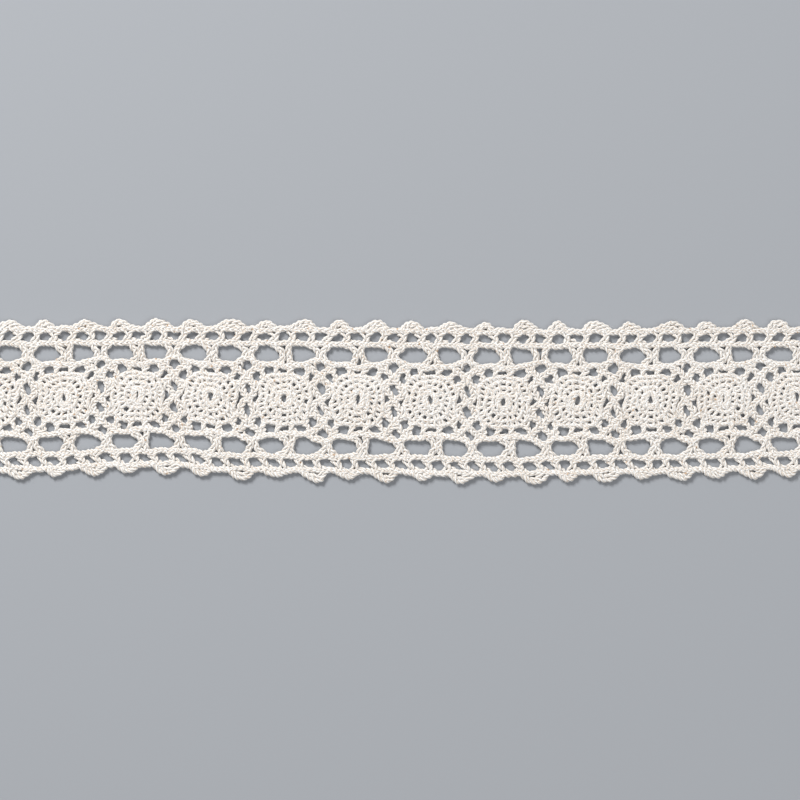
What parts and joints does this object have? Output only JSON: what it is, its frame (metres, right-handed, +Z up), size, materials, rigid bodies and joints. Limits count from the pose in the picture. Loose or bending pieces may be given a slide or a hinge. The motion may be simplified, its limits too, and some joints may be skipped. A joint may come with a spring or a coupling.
{
  "type": "cut length of lace trim",
  "caption": "Flat cut length of cotton bobbin lace trim with woven oval medallions, eyelet and window rows and scalloped edges.",
  "frame": {"origin": "middle of the trim's box, on the surface it lies on", "axes": "+X along the trim, +Y across it to the upper scallops, +Z up, out of the lace"},
  "size_m": [0.1986, 0.041, 0.0015],
  "materials": {
    "cotton_lace": "matt undyed cotton yarn, off-white"
  },
  "bodies": {
    "root": {"lace_band": "cotton_lace"}
  },
  "joints": []
}
